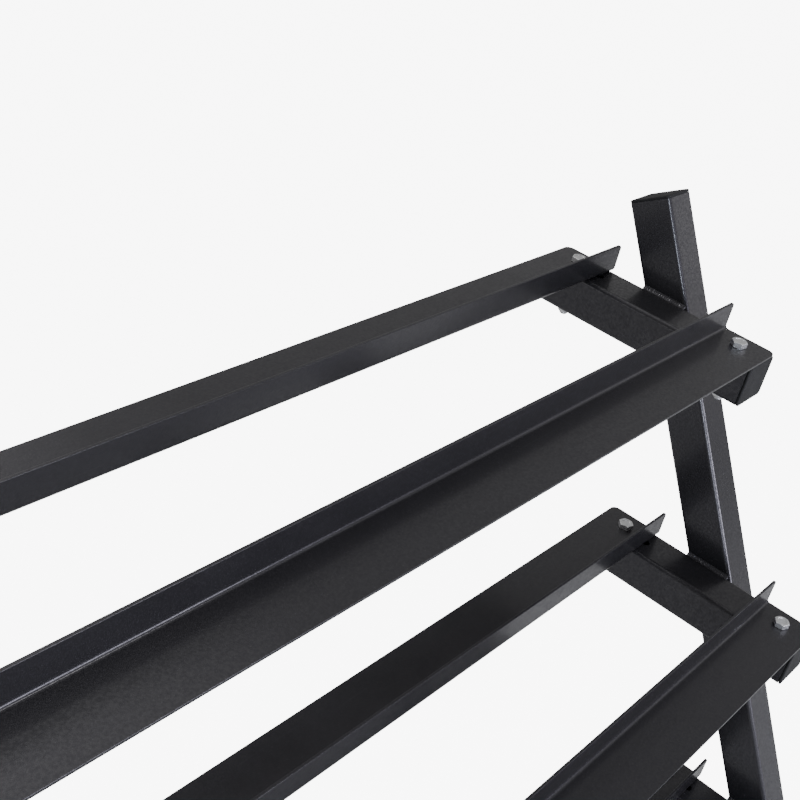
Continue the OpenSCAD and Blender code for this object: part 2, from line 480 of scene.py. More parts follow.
def grain_effect() -> bpy.types.NodeTree:
    """The fine skin of a sprayed or moulded surface: its height and slow waves in it."""

    def wire(g: Graph, given: dict, out: dict) -> None:
        """Fills the group."""
        place = g.node("TexCoord").outputs["Object"]
        fine = g.node("TexNoise", Detail=3.0, Roughness=0.6)
        g.link(place, fine.inputs["Vector"])
        g.link(given["Fine"], fine.inputs["Scale"])
        peel = g.node("TexNoise", Detail=1.0, Roughness=0.4)
        g.link(place, peel.inputs["Vector"])
        g.link(given["Peel"], peel.inputs["Scale"])
        slow = g.node("TexNoise", Detail=2.0, Roughness=0.5)
        g.link(place, slow.inputs["Vector"])
        g.link(given["Slow"], slow.inputs["Scale"])
        rough = g.math("MULTIPLY", fine.outputs["Fac"], given["Grit"])
        g.link(g.math("ADD", rough, peel.outputs["Fac"]), out["Height"])
        g.link(g.span(slow.outputs["Fac"], 0.3, 0.7), out["Waves"])
        g.link(g.span(fine.outputs["Fac"], 0.35, 0.65), out["Speckle"])
        g.link(g.span(peel.outputs["Fac"], 0.34, 0.66), out["Mottle"])

    return effect(
        "fine_grain",
        {"Fine": 950.0, "Peel": 420.0, "Slow": 9.0, "Grit": 0.6},
        ["Height", "Waves", "Speckle", "Mottle"],
        wire,
    )


def wear_effect() -> bpy.types.NodeTree:
    """Rubbed edges: a mask along the broken edges, and small chips in it."""

    def wire(g: Graph, given: dict, out: dict) -> None:
        """Fills the group."""
        place = g.node("TexCoord").outputs["Object"]
        edge = g.node("Attribute", attribute_name=EDGE_LAYER).outputs["Fac"]
        patchy = g.node("TexNoise", Detail=4.0, Roughness=0.7)
        g.link(place, patchy.inputs["Vector"])
        g.link(given["Patches"], patchy.inputs["Scale"])
        rubbed = g.math("MULTIPLY", edge, g.span(patchy.outputs["Fac"], 0.35, 0.75))
        chips = g.math("MULTIPLY", edge, g.span(patchy.outputs["Fac"], 0.68, 0.72))
        g.link(g.math("MULTIPLY", rubbed, given["Rub"], clamp=True), out["Rubbed"])
        g.link(g.math("MULTIPLY", chips, given["Chip"], clamp=True), out["Chips"])

    return effect(
        "edge_wear", {"Patches": 60.0, "Rub": 1.0, "Chip": 1.0}, ["Rubbed", "Chips"], wire
    )


def marks_effect() -> bpy.types.NodeTree:
    """Handling: faint smears, hairline scratches along the rails and dust on what faces up."""

    def wire(g: Graph, given: dict, out: dict) -> None:
        """Fills the group."""
        place = g.node("TexCoord").outputs["Object"]
        smear = g.node("TexNoise", Detail=5.0, Roughness=0.65, Distortion=0.6)
        g.link(place, smear.inputs["Vector"])
        g.link(given["Smears"], smear.inputs["Scale"])
        drawn = g.node("Mapping")
        drawn.inputs["Scale"].default_value = (6.0, 240.0, 240.0)
        g.link(place, drawn.inputs["Vector"])
        hair = g.node("TexNoise", Scale=1.6, Detail=2.0, Roughness=0.5)
        g.link(drawn.outputs["Vector"], hair.inputs["Vector"])
        facing = g.node("SeparateXYZ")
        g.link(g.node("NewGeometry").outputs["Normal"], facing.inputs[0])
        specks = g.node("TexNoise", Scale=900.0, Detail=2.0, Roughness=0.7)
        g.link(place, specks.inputs["Vector"])
        settled = g.math(
            "MULTIPLY",
            g.span(facing.outputs["Z"], 0.6, 0.95),
            g.span(specks.outputs["Fac"], 0.6, 0.72),
        )
        g.link(g.span(smear.outputs["Fac"], 0.4, 0.7), out["Smear"])
        lines = g.span(hair.outputs["Fac"], 0.68, 0.74)
        g.link(g.math("MULTIPLY", lines, given["Scratches"], clamp=True), out["Scratch"])
        g.link(g.math("MULTIPLY", settled, given["Dust"], clamp=True), out["Dust"])

    return effect(
        "handling_marks",
        {"Smears": 14.0, "Scratches": 1.0, "Dust": 1.0},
        ["Smear", "Scratch", "Dust"],
        wire,
    )


def placed_effect(g: Graph, tree: bpy.types.NodeTree, **values: float) -> bpy.types.Node:
    """Puts a shared effect into a material with its own numbers."""
    made = g.tree.nodes.new("ShaderNodeGroup")
    made.node_tree = tree
    for key, value in values.items():
        made.inputs[key].default_value = value
    return made


def blank(name: str) -> tuple[bpy.types.Material, Graph, bpy.types.Node]:
    """A new material with only its shader and output.

    Args:
        name: Name of the material.

    Returns:
        The material, its graph and its shader node.
    """
    material = bpy.data.materials.new(name)
    material.use_nodes = True
    shader = next(n for n in material.node_tree.nodes if n.type == "BSDF_PRINCIPLED")
    return material, Graph(material.node_tree), shader


# ---------------------------------------------------------------- finishes


@dataclass(frozen=True)
class PowderCoat:
    """Satin powder coat on steel."""

    name: str
    colour: tuple[float, float, float] = (0.0125, 0.0122, 0.014)
    worn: tuple[float, float, float] = (0.05, 0.05, 0.056)
    bare: tuple[float, float, float] = (0.25, 0.25, 0.26)
    dust: tuple[float, float, float] = (0.14, 0.135, 0.13)
    tint: tuple[float, float, float] = (0.93, 0.89, 1.0)
    roughness: float = 0.39
    film: float = 0.55
    film_roughness: float = 0.16
    peel: float = 500.0
    depth: float = 0.00014
    mottle: float = 0.26
    rub: float = 0.5
    chip: float = 0.25
    dusty: float = 0.3

    def material(self) -> bpy.types.Material:
        """Builds the material: waves in tone, peel and grit, rubbed and chipped edges, dust."""
        material, g, shader = blank(self.name)
        grain = placed_effect(g, grain_effect(), Peel=self.peel)
        wear = placed_effect(g, wear_effect(), Rub=self.rub, Chip=self.chip)
        marks = placed_effect(g, marks_effect(), Dust=self.dusty, Scratches=0.35)
        darker = tuple(c * 0.82 for c in self.colour)
        tone = g.blend(grain.outputs["Waves"], darker, self.colour)
        lit = tuple(c * 1.5 for c in self.colour)
        tone = g.blend(g.math("MULTIPLY", grain.outputs["Speckle"], 0.35), tone, lit)
        tone = g.blend(g.math("MULTIPLY", marks.outputs["Scratch"], 0.5), tone, self.worn)
        tone = g.blend(wear.outputs["Rubbed"], tone, self.worn)
        tone = g.blend(wear.outputs["Chips"], tone, self.bare)
        tone = g.blend(g.math("MULTIPLY", marks.outputs["Dust"], 0.5), tone, self.dust)
        g.link(tone, shader.inputs["Base Color"])
        smear = marks.outputs["Smear"]
        rough = g.span(smear, 0.0, 1.0, self.roughness - 0.04, self.roughness + 0.06)
        rough = g.math("ADD", rough, g.math("MULTIPLY", grain.outputs["Speckle"], 0.05))
        mottle = grain.outputs["Mottle"]
        rough = g.math("SUBTRACT", rough, g.math("MULTIPLY", mottle, self.mottle * 0.35))
        rubbed = g.math("MULTIPLY", wear.outputs["Rubbed"], 0.12)
        rough = g.math("SUBTRACT", rough, rubbed, clamp=True)
        g.link(rough, shader.inputs["Roughness"])
        g.link(g.math("MULTIPLY", wear.outputs["Chips"], 0.8), shader.inputs["Metallic"])
        bump = g.node("Bump", Strength=0.55, Distance=self.depth)
        g.link(grain.outputs["Height"], bump.inputs["Height"])
        g.link(bump.outputs["Normal"], shader.inputs["Normal"])
        gleam = g.span(mottle, 0.0, 1.0, self.film - self.mottle, self.film + self.mottle)
        g.link(gleam, shader.inputs["Coat Weight"])
        shader.inputs["Specular Tint"].default_value = (*self.tint, 1.0)
        shader.inputs["Coat Roughness"].default_value = self.film_roughness
        return material


@dataclass(frozen=True)
class MouldedPlastic:
    """Moulded polymer with a spark-eroded grain."""

    name: str
    colour: tuple[float, float, float] = (0.016, 0.016, 0.017)
    worn: tuple[float, float, float] = (0.05, 0.05, 0.053)
    roughness: float = 0.55
    fine: float = 1300.0
    grit: float = 1.0
    depth: float = 0.00007
    specular: float = 0.17

    def material(self) -> bpy.types.Material:
        """Builds the material: leather-fine grain, tone waves, scuffed edges and smears."""
        material, g, shader = blank(self.name)
        grain = placed_effect(
            g, grain_effect(), Fine=self.fine, Peel=900.0, Slow=30.0, Grit=self.grit
        )
        wear = placed_effect(g, wear_effect(), Patches=90.0, Rub=0.7, Chip=0.0)
        marks = placed_effect(g, marks_effect(), Smears=25.0, Dust=0.2, Scratches=0.2)
        darker = tuple(c * 0.8 for c in self.colour)
        tone = g.blend(grain.outputs["Waves"], darker, self.colour)
        tone = g.blend(g.math("MULTIPLY", grain.outputs["Speckle"], 0.25), tone, self.worn)
        tone = g.blend(wear.outputs["Rubbed"], tone, self.worn)
        tone = g.blend(g.math("MULTIPLY", marks.outputs["Dust"], 0.5), tone, (0.2, 0.19, 0.18))
        g.link(tone, shader.inputs["Base Color"])
        smear = marks.outputs["Smear"]
        rough = g.span(smear, 0.0, 1.0, self.roughness - 0.05, self.roughness + 0.08)
        g.link(rough, shader.inputs["Roughness"])
        bump = g.node("Bump", Strength=0.6, Distance=self.depth)
        g.link(grain.outputs["Height"], bump.inputs["Height"])
        g.link(bump.outputs["Normal"], shader.inputs["Normal"])
        shader.inputs["Specular IOR Level"].default_value = self.specular
        return material


@dataclass(frozen=True)
class ZincPlate:
    """Bright zinc-plated steel."""

    name: str
    colour: tuple[float, float, float] = (0.93, 0.94, 0.96)
    dull: tuple[float, float, float] = (0.78, 0.79, 0.81)
    warm: tuple[float, float, float] = (0.9, 0.87, 0.8)
    bright: tuple[float, float, float] = (0.97, 0.98, 1.0)
    roughness: float = 0.28
    metal: float = 0.84

    def material(self) -> bpy.types.Material:
        """Builds the material: cloudy plating, a warm tint, turning marks and rubbed corners."""
        material, g, shader = blank(self.name)
        grain = placed_effect(g, grain_effect(), Fine=3500.0, Peel=1400.0, Slow=220.0, Grit=0.8)
        wear = placed_effect(g, wear_effect(), Patches=400.0, Rub=0.8, Chip=0.0)
        marks = placed_effect(g, marks_effect(), Smears=120.0, Dust=0.0, Scratches=0.6)
        tone = g.blend(grain.outputs["Waves"], self.dull, self.colour)
        tone = g.blend(g.math("MULTIPLY", marks.outputs["Smear"], 0.4), tone, self.warm)
        tone = g.blend(g.math("MULTIPLY", grain.outputs["Speckle"], 0.2), tone, self.dull)
        tone = g.blend(wear.outputs["Rubbed"], tone, self.bright)
        g.link(tone, shader.inputs["Base Color"])
        rough = g.span(grain.outputs["Waves"], 0.0, 1.0, self.roughness + 0.12, self.roughness)
        rough = g.math("ADD", rough, g.math("MULTIPLY", grain.outputs["Speckle"], 0.06))
        g.link(rough, shader.inputs["Roughness"])
        shader.inputs["Metallic"].default_value = self.metal
        bump = g.node("Bump", Strength=0.35, Distance=0.00002)
        g.link(grain.outputs["Height"], bump.inputs["Height"])
        g.link(bump.outputs["Normal"], shader.inputs["Normal"])
        return material


@dataclass
class Finishes:
    """Every finish of the rack, built once."""

    frame: bpy.types.Material = field(init=False)
    rail: bpy.types.Material = field(init=False)
    weld: bpy.types.Material = field(init=False)
    cap: bpy.types.Material = field(init=False)
    rubber: bpy.types.Material = field(init=False)
    zinc: bpy.types.Material = field(init=False)
    nylon: bpy.types.Material = field(init=False)

    def __post_init__(self) -> None:
        """Builds the materials."""
        self.frame = PowderCoat("frame_powder_coat").material()
        self.rail = PowderCoat(
            "rail_powder_coat", roughness=0.38, peel=480.0, mottle=0.18
        ).material()
        self.weld = PowderCoat(
            "weld_powder_coat", roughness=0.42, film=0.35, depth=0.0001, rub=0.3, chip=0.0
        ).material()
        self.cap = MouldedPlastic("cap_polymer").material()
        self.rubber = MouldedPlastic(
            "pad_rubber", colour=(0.012, 0.012, 0.012), roughness=0.78, grit=1.6, specular=0.25
        ).material()
        self.zinc = ZincPlate("zinc_plate").material()
        self.nylon = MouldedPlastic(
            "lock_ring_nylon", colour=(0.62, 0.62, 0.58), worn=(0.7, 0.7, 0.66), roughness=0.4
        ).material()


# ---------------------------------------------------------------- places


@dataclass(frozen=True)
class Layout:
    """Angles and sections of the rack, and the places that follow from the frame's boxes."""

    tilt: float = 15.5
    lean: float = 15.0
    arm_width: float = 45 * MM
    arm_height: float = 40 * MM
    rail_width: float = 54 * MM
    sheet: float = 2.5 * MM
    post_width: float = 40 * MM
    post_depth: float = 42 * MM
    foot_width: float = 40 * MM
    foot_height: float = 40 * MM
    tube_wall: float = 2 * MM
    tube_corner: float = 4 * MM
    cap_head: float = 3 * MM
    spare_pitch: float = 25 * MM
    bolt_hole: float = 4.5 * MM

    def middle(self, node: str) -> Vector:
        """Middle of a node's box."""
        low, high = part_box(node)
        return (low + high) / 2

    @property
    def rail_end(self) -> float:
        """Where the rails end and the uprights begin."""
        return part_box("top_front_rail")[1].x

    @property
    def arm_length(self) -> float:
        """Length of an arm's tube, from the height of its slanted box."""
        low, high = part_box("right_top_arm")
        slope = math.radians(self.tilt)
        return (high.z - low.z - self.arm_height * math.cos(slope)) / math.sin(slope)

    @property
    def tier_depth(self) -> float:
        """Depth of a tier over its rails, which the heads of the arm caps reach."""
        return self.arm_length + 2 * self.cap_head

    @property
    def bolt_offset(self) -> float:
        """Distance of the rail bolts from the middle of an arm."""
        return (self.tier_depth - self.rail_width) / 2

    @property
    def arm_x(self) -> float:
        """Middle of the right-hand arms."""
        return self.rail_end - self.arm_width / 2

    @property
    def post_x(self) -> float:
        """Middle of the right-hand upright."""
        return self.rail_end + self.post_width / 2

    def tier(self, name: str) -> Matrix:
        """Frame of a tier: origin on the arms' top faces, +Y back along them, +Z out of the plates.

        Args:
            name: Name of the tier.

        Returns:
            The frame's place.
        """
        centre = self.middle(f"right_{name}_arm")
        return at(0, centre.y, centre.z) @ turn(self.tilt, "X") @ at(z=self.arm_height / 2)

    def upright(self) -> Matrix:
        """Frame of the right-hand upright: its centreline on top of the foot, +Z along it."""
        low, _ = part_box("right_upright")
        half = self.post_depth / 2 / math.cos(math.radians(self.lean))
        return at(self.post_x, low.y + half, low.z) @ turn(-self.lean, "X")

    @property
    def upright_length(self) -> float:
        """Length of the upright's tube along its centreline."""
        low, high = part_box("right_upright")
        slope = math.radians(self.lean)
        rise = high.z - low.z - self.post_depth / 2 * math.sin(slope)
        return rise / math.cos(slope)

    def mirrored(self, side: str) -> Matrix:
        """The turn that takes a right-hand piece to its side."""
        return Matrix.Diagonal((-1, 1, 1, 1)) if side == "left" else Matrix.Identity(4)


# ---------------------------------------------------------------- side frames


@dataclass
class Tube:
    """A square tube with true walls, along +Z from the origin."""

    width: float
    depth: float
    length: float
    wall: float
    corner: float
    edge: float = 0.35 * MM

    def build(self, low: float = 0.0) -> bmesh.types.BMesh:
        """Opens a rounded column at both ends and gives its skin a wall.

        Args:
            low: Where the tube starts.

        Returns:
            The closed tube with unbroken edges.
        """
        bm = rounded_column(self.width, self.depth, low, self.length, self.corner)
        ends = [f for f in bm.faces if abs(f.normal.z) > 0.9]
        bmesh.ops.delete(bm, geom=ends, context="FACES_ONLY")
        bmesh.ops.solidify(bm, geom=bm.faces[:], thickness=self.wall)
        bmesh.ops.recalc_face_normals(bm, faces=bm.faces[:])
        return bm

    def drilled(self, places: Iterable[Matrix], radius: float) -> bmesh.types.BMesh:
        """Builds the tube with round holes right through it.

        Args:
            places: Place of each hole's axis, which runs along the place's own Z.
            radius: Radius of the holes.

        Returns:
            The drilled tube with its edges broken.
        """
        bm = self.build()
        reach = self.width + self.depth
        for place in places:
            drill = cylinder(radius, -reach, reach)
            drill.transform(place)
            bm = carve(bm, drill, Cut.REMOVE)
        soften(bm, self.edge)
        return bm


@dataclass
class EndCap:
    """A plastic tube cap: a crowned head above z = 0 and a ribbed hollow plug below it."""

    width: float
    depth: float
    corner: float
    wall: float
    head: float
    plug: float = 14 * MM
    plug_wall: float = 2 * MM
    gap: float = 0.2 * MM
    crown: float = 0.5 * MM
    rib: float = 0.18 * MM
    parting: float = 0.8 * MM

    def build(self) -> bmesh.types.BMesh:
        """Builds the crowned head over a parting groove, and the plug with three grip ribs."""
        rim = self.head - self.crown
        head = rounded_column(self.width, self.depth, self.parting, rim, self.corner)
        top = [f for f in head.faces if f.normal.z > 0.9]
        inner = bmesh.ops.inset_individual(
            head, faces=top, thickness=2.2 * MM, use_even_offset=True
        )
        middle = [f for f in head.faces if f.normal.z > 0.9 and f not in inner["faces"]]
        raised = list({v for f in middle for v in f.verts})
        bmesh.ops.translate(head, verts=raised, vec=(0, 0, self.crown))
        soften(head, 0.5 * MM, angle=12.0)
        step = 2 * self.parting
        neck = rounded_column(
            self.width - step, self.depth - step, 0.0, 2 * self.parting, self.corner
        )
        soften(neck, 0.1 * MM)
        inside = self.wall + self.gap
        width, depth = self.width - 2 * inside, self.depth - 2 * inside
        parts = [(head, Matrix.Identity(4)), (neck, Matrix.Identity(4))]
        bend = max(self.corner - inside, 0.5 * MM) + self.plug_wall
        sleeve = Tube(width, depth, 0.0, self.plug_wall, bend)
        tube = sleeve.build(-self.plug)
        soften(tube, 0.4 * MM)
        parts.append((tube, Matrix.Identity(4)))
        for step in range(3):
            height = -self.plug * (step + 1) / 4
            ring = rounded_column(
                width + 2 * self.rib,
                depth + 2 * self.rib,
                height,
                height + 1 * MM,
                self.corner - self.wall,
            )
            hole = rounded_column(
                width - 2 * self.plug_wall,
                depth - 2 * self.plug_wall,
                height - MM,
                height + 2 * MM,
                1 * MM,
            )
            ring = carve(ring, hole, Cut.REMOVE)
            soften(ring, 0.15 * MM)
            parts.append((ring, Matrix.Identity(4)))
        return joined(parts)


@dataclass
class Bead:
    """A rippled fillet weld along +Y, in the corner between x = 0 and a tube's face on z = 0."""

    length: float
    leg: float = 3.4 * MM
    root: float = 3 * MM
    ripple: float = 2.2 * MM
    swell: float = 0.42 * MM
    taper: float = 2.2 * MM
    column: float = 0.4 * MM
    seed: int = 0

    def build(self) -> bmesh.types.BMesh:
        """Draws the section, runs it along the seam and works the ripples into its face."""
        bm = bmesh.new()
        steps = 10
        outline = [(0.0, -self.root), (-self.leg, -self.root)]
        for step in range(steps + 1):
            share = step / steps
            sag = 0.2 * self.leg * math.sin(math.pi * share)
            outline.append((-self.leg * (1 - share) + sag * 0.5, self.leg * share - sag * 0.5))
        section = bm.faces.new([bm.verts.new((x, 0.0, z)) for x, z in outline])
        run = bmesh.ops.extrude_face_region(bm, geom=[section])
        moved = [v for v in run["geom"] if isinstance(v, bmesh.types.BMVert)]
        bmesh.ops.translate(bm, verts=moved, vec=(0, self.length, 0))
        cuts = max(12, round(self.length / self.column))
        bmesh.ops.subdivide_edges(bm, edges=length_edges(bm, 1), cuts=cuts)
        layer = bm.verts.layers.float.new(EDGE_LAYER)
        for vert in bm.verts:
            self._work(vert, layer)
        bmesh.ops.recalc_face_normals(bm, faces=bm.faces[:])
        return bm

    def _work(self, vert: bmesh.types.BMVert, layer: bmesh.types.BMLayerItem) -> None:
        """Lifts one point of the face into its crescent and draws the bead in at both ends.

        Args:
            vert: The point.
            layer: The edge layer, which marks the crests.
        """
        x, y, z = vert.co
        seat = Vector((self.seed * 3.1, 0.0, 0.0))
        across = max(0.0, min(1.0, z / self.leg))
        phase = (y - 0.45 * self.ripple * (2 * across - 1) ** 2) / self.ripple
        phase += 0.3 * noise.noise(Vector((y * 180, 0.0, 0.0)) + seat)
        crest = (1 - phase % 1.0) ** 0.8
        wander = noise.noise(Vector((y * 110, z * 150, 5.0)) + seat)
        wander += 0.7 * noise.noise(Vector((y * 620, x * 500, z * 620)) + seat)
        body = math.sin(math.pi * across) ** 0.5 if 0.0 < across < 1.0 else 0.0
        push = self.swell * (crest - 0.5 + 0.9 * wander) * body
        end = min(y, self.length - y)
        close = math.sqrt(max(0.0, 1 - (1 - min(1.0, end / self.taper)) ** 2))
        share = 0.4 + 0.6 * close
        vert.co = Vector((x * share, y, z * share)) + Vector((-0.7, 0.0, 0.7)) * push * close
        vert.co.x = min(vert.co.x, 0.0)
        vert[layer] = 0.5 * crest * body


@dataclass
class SideFrame:
    """One side of the rack: upright, foot, arms, caps, welds and pads."""

    side: str
    layout: Layout
    finishes: Finishes

    def build(self) -> None:
        """Builds and dresses every piece of this side."""
        self._upright()
        self._foot()
        for tier in TIERS:
            self._arm(tier)
        self._welds()

    def _place(self, inner: Matrix) -> Matrix:
        """The place of a piece on this side, given its place on the right-hand side."""
        return self.layout.mirrored(self.side) @ inner

    def _piece(
        self,
        name: str,
        bm: bmesh.types.BMesh,
        place: Matrix,
        finish: bpy.types.Material,
        slot: Slot,
        node: str,
    ) -> None:
        """Publishes one piece of this side, whose name and node both start with the side's.

        Args:
            name: Name of the piece without its side.
            bm: Its mesh at the origin; it is used up.
            place: Where it goes on the right-hand side.
            finish: Its material.
            slot: The record's slot for its finish, handed on to publish.
            node: The frame's node that it stands for, without its side.
        """
        node = f"{self.side}_{node}"
        publish(f"{self.side}_{name}", bm, self._place(place), [finish], slot, [node])

    def _cap(self, width: float, depth: float, **details: float) -> EndCap:
        """A cap for a tube of this outer size; details are fields of EndCap."""
        size = self.layout
        return EndCap(width, depth, size.tube_corner, size.tube_wall, size.cap_head, **details)

    def _upright(self) -> None:
        """The leaning tube, cut level at its bottom, and the cap on its top."""
        size = self.layout
        tube = Tube(
            size.post_width,
            size.post_depth,
            size.upright_length,
            size.tube_wall,
            size.tube_corner,
        )
        bm = tube.build(-size.post_depth)
        bm.transform(size.upright())
        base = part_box("right_upright")[0]
        below = bmesh.new()
        reach = 4 * size.post_depth
        bmesh.ops.create_cube(below, size=reach, matrix=at(size.post_x, base.y, base.z - reach / 2))
        bm = carve(bm, below, Cut.REMOVE)
        soften(bm, tube.edge)
        here = Matrix.Identity(4)
        self._piece("upright_tube", bm, here, self.finishes.frame, Slot.FRAME, "upright")
        cap = self._cap(size.post_width, size.post_depth, parting=0.3 * MM).build()
        top = size.upright() @ at(z=size.upright_length)
        self._piece("upright_top_plug", cap, top, self.finishes.cap, Slot.CAP, "upright_cap")

    def _foot(self) -> None:
        """The foot tube, its end caps and its pads."""
        size = self.layout
        low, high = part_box("right_foot")
        length = high.y - low.y
        middle = (low + high) / 2
        tube = Tube(size.foot_width, size.foot_height, length, size.tube_wall, size.tube_corner)
        lying = at(size.post_x, low.y, middle.z) @ turn(-90, "X")
        bm = tube.build()
        soften(bm, tube.edge)
        self._piece("foot_tube", bm, lying, self.finishes.frame, Slot.FRAME, "foot")
        cap = self._cap(size.foot_width, size.foot_height)
        for end, y, facing in (("front", low.y, 90), ("rear", high.y, -90)):
            place = at(size.post_x, y, middle.z) @ turn(facing, "X")
            plug, node = f"foot_{end}_plug", f"foot_{end}_cap"
            self._piece(plug, cap.build(), place, self.finishes.cap, Slot.CAP, node)
            self._pad(end)

    def _pad(self, end: str) -> None:
        """One rubber pad: a tread ring, a recess for its screw and ribs round its side."""
        node = f"{self.side}_foot_{end}_pad"
        low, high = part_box(node)
        middle = (low + high) / 2
        radius = (high.x - low.x) / 2
        tall = high.z - low.z
        bore, recess, floor = 2.4 * MM, 5.0 * MM, 4.1 * MM
        grooved = radius - 0.7 * MM
        outline = [
            (bore, floor),
            (recess, floor - 0.1 * MM),
            (recess, 0.6 * MM),
            (recess + 0.6 * MM, 0.0),
            (radius * 0.52, 0.0),
            (radius * 0.55, 0.5 * MM),
            (radius * 0.62, 0.5 * MM),
            (radius * 0.65, 0.0),
            (radius - 1.2 * MM, 0.0),
            (radius - 0.2 * MM, 0.7 * MM),
            (radius, 1.4 * MM),
            (radius, tall - 3.6 * MM),
            (grooved, tall - 3.1 * MM),
            (grooved, tall - 2.3 * MM),
            (radius, tall - 1.8 * MM),
            (radius, tall - 0.5 * MM),
            (radius - 0.5 * MM, tall),
            (bore, tall),
            (bore, floor),
        ]
        bm = lathe(outline, 64)
        soften(bm, 0.18 * MM, angle=50.0)
        publish(
            f"{self.side}_{end}_rubber_pad",
            bm,
            at(middle.x, middle.y, low.z),
            [self.finishes.rubber],
            Slot.PAD,
            [node],
        )

    def _arm(self, tier: str) -> None:
        """One arm with its three through holes, and the caps in its ends."""
        size = self.layout
        frame_place = size.tier(tier)
        length = size.arm_length
        tube = Tube(size.arm_width, size.arm_height, length, size.tube_wall, size.tube_corner)
        lying = at(size.arm_x, -length / 2, -size.arm_height / 2) @ turn(-90, "X")
        rear = size.bolt_offset
        spots = (-rear, rear - size.spare_pitch, rear)
        holes = [at(z=spot + length / 2) @ turn(90, "X") for spot in spots]
        self._piece(
            f"{tier}_arm_tube",
            tube.drilled(holes, size.bolt_hole),
            frame_place @ lying,
            self.finishes.frame,
            Slot.FRAME,
            f"{tier}_arm",
        )
        cap = self._cap(size.arm_width, size.arm_height)
        for end, sign in (("front", -1), ("rear", 1)):
            place = at(size.arm_x, sign * length / 2, -size.arm_height / 2) @ turn(-90 * sign, "X")
            self._piece(
                f"{tier}_arm_{end}_plug",
                cap.build(),
                frame_place @ place,
                self.finishes.cap,
                Slot.CAP,
                f"{tier}_arm_{end}_cap",
            )

    def _welds(self) -> None:
        """All beads of this side in one piece."""
        beads = []
        for number, tier in enumerate(TIERS):
            beads.extend(self._arm_beads(tier, number * 5))
        beads.extend(self._foot_beads())
        here = Matrix.Identity(4)
        self._piece("weld_beads", joined(beads), here, self.finishes.weld, Slot.WELD, "welds")

    def _crossing(self, tier: str) -> float:
        """How far behind the arm's middle the upright's centreline crosses its top face."""
        size = self.layout
        local = size.tier(tier).inverted() @ size.upright()
        start = local.translation
        run = local.to_3x3() @ Vector((0, 0, 1))
        return start.y - start.z / run.z * run.y

    def _arm_beads(self, tier: str, seed: int) -> Iterator[tuple[bmesh.types.BMesh, Matrix]]:
        """The beads round one arm's joint with the upright.

        Args:
            tier: The arm's tier.
            seed: Start of the ripples' pattern.

        Yields:
            Each bead and its place.
        """
        size = self.layout
        place = size.tier(tier)
        skew = math.radians(size.tilt + size.lean)
        half = size.post_depth / 2 / math.cos(skew)
        cross = self._crossing(tier)
        top = Bead(2 * half - 3 * MM, seed=seed).build()
        yield top, place @ at(size.rail_end, cross - half + 2.5 * MM, 0)
        low_cross = cross - size.arm_height * math.tan(skew)
        bottom = Bead(2 * half - 3 * MM, seed=seed + 1).build()
        down = at(size.rail_end, low_cross - half + 1 * MM, -size.arm_height)
        down = down @ Matrix.Diagonal((1, 1, -1, 1))
        yield bottom, place @ down
        band = size.arm_height - 2 * size.tube_corner
        for step, sign in enumerate((-1, 1)):
            bead = Bead(band / math.cos(skew) - 2 * MM, seed=seed + 2 + step).build()
            edge = cross + sign * half - size.arm_height / 2 * math.tan(skew)
            lying = at(size.rail_end, edge, -size.arm_height / 2) @ turn(-math.degrees(skew), "X")
            stand = Matrix(((-1, 0, 0, 0), (0, 0, sign, 0), (0, 1, 0, 0), (0, 0, 0, 1)))
            yield bead, place @ lying @ at(z=-(band / math.cos(skew) - 2 * MM) / 2) @ stand

    def _foot_beads(self) -> Iterator[tuple[bmesh.types.BMesh, Matrix]]:
        """The beads in front of and behind the upright on the foot.

        Yields:
            Each bead and its place.
        """
        size = self.layout
        base = size.upright().translation
        half = size.post_depth / 2 / math.cos(math.radians(size.lean))
        length = size.post_width - 2 * size.tube_corner
        lean = math.radians(size.lean)
        for number, sign in enumerate((-1, 1)):
            bead = Bead(length, root=0.3 * MM, seed=40 + number).build()
            turned = Matrix(
                (
                    (0, 1, 0, 0),
                    (-sign, 0, math.sin(lean), 0),
                    (0, 0, math.cos(lean), 0),
                    (0, 0, 0, 1),
                )
            )
            yield bead, at(base.x - length / 2, base.y + sign * half, base.z) @ turned


# ---------------------------------------------------------------- rails


